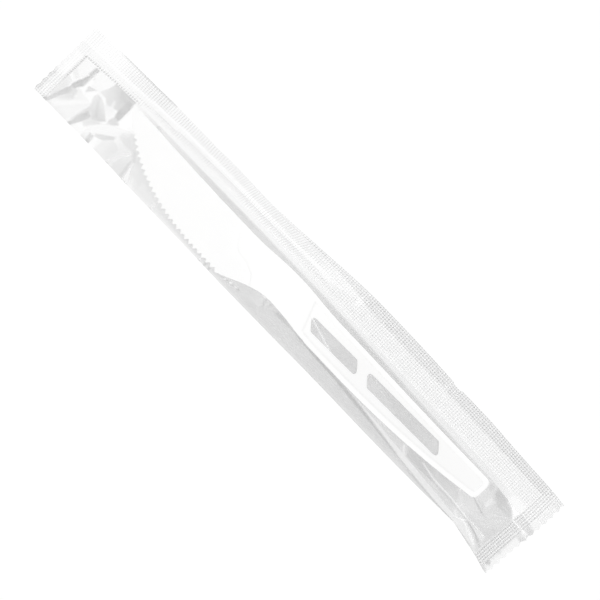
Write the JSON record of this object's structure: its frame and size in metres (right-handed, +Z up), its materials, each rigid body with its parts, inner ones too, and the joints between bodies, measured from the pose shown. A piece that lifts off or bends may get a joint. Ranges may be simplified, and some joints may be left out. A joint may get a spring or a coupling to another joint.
{
  "type": "wrapped knife",
  "caption": "Moulded plastic table knife with a toothed blade and a handle with two windows, sealed in a folded clear film wrapper with a ribbed fin seal.",
  "frame": {"origin": "middle of the pack's underside, where it lies on a table", "axes": "+X along the pack from the blade end to the handle end, +Y from the film's folded side to its fin seal, +Z up from the surface it lies on"},
  "size_m": [0.2134, 0.0358, 0.0037],
  "materials": {
    "knife_plastic": "white moulded plastic with a soft gloss",
    "clear_film": "thin clear glossy film, creased, with ribbed seals"
  },
  "bodies": {
    "root": {"knife": "knife_plastic", "film_wrapper": "clear_film"}
  },
  "joints": []
}
